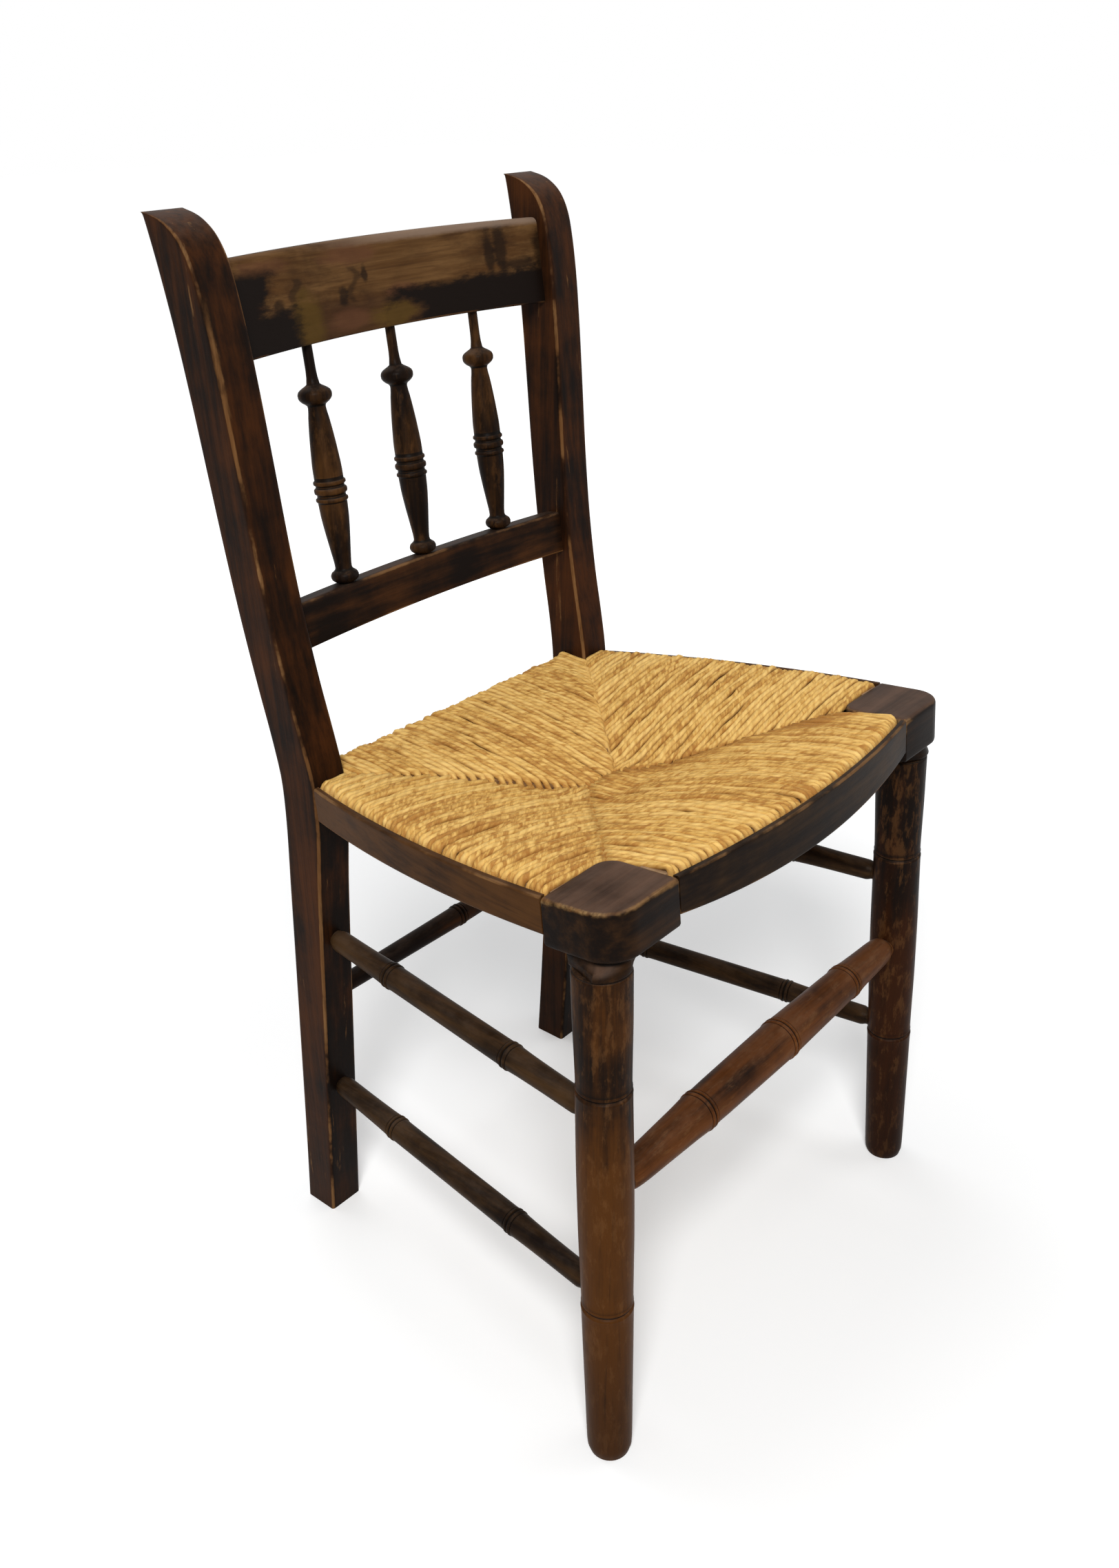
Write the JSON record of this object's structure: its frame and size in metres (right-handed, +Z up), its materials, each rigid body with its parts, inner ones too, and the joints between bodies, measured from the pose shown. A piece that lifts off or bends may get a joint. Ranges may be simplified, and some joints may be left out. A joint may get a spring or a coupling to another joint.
{
  "type": "rush seat spindle-back chair",
  "caption": "Worn dark wooden side chair with a woven rush seat, turned front legs, bowed crest rail and turned back spindles.",
  "frame": {"origin": "on the floor, at the middle of the box that encloses the chair", "axes": "+Z up, the front of the seat faces -Y, +X to the right as seen from the front; rests on four feet at z = 0"},
  "size_m": [0.445, 0.4208, 0.8261],
  "materials": {
    "post_wood": "dark stain, satin, rubbed through to brown along the edges",
    "leg_wood": "dark stain, satin, worn to warm brown low down",
    "block_wood": "dark stain, satin, pale rubbed edge",
    "side_stretcher_wood": "dark stain, satin",
    "front_stretcher_wood": "dark stain worn to reddish brown, satin",
    "rail_wood": "bare wood under the rush",
    "strip_wood": "dark stain, worn lighter along the top edge",
    "rush": "twisted dry rush, matt, straw yellow to brown",
    "crest_wood": "dark paint flaked off the upper half, brown wood showing",
    "lower_rail_wood": "dark stain, satin",
    "spindle_wood": "dark stain, satin, grooves darker"
  },
  "bodies": {
    "root": {"rear_left_post": "post_wood", "rear_right_post": "post_wood", "front_left_leg": "leg_wood", "front_right_leg": "leg_wood", "front_left_corner_block": "block_wood", "front_right_corner_block": "block_wood", "left_upper_stretcher": "side_stretcher_wood", "right_upper_stretcher": "side_stretcher_wood", "left_lower_stretcher": "side_stretcher_wood", "right_lower_stretcher": "side_stretcher_wood", "back_stretcher": "side_stretcher_wood", "front_stretcher": "front_stretcher_wood", "left_seat_rail": "rail_wood", "right_seat_rail": "rail_wood", "front_seat_rail": "rail_wood", "back_seat_rail": "rail_wood", "left_edging_strip": "strip_wood", "right_edging_strip": "strip_wood", "front_edging_strip": "strip_wood", "rush_seat": "rush", "crest_rail": "crest_wood", "lower_back_rail": "lower_rail_wood", "left_spindle": "spindle_wood", "centre_spindle": "spindle_wood", "right_spindle": "spindle_wood"}
  },
  "joints": []
}
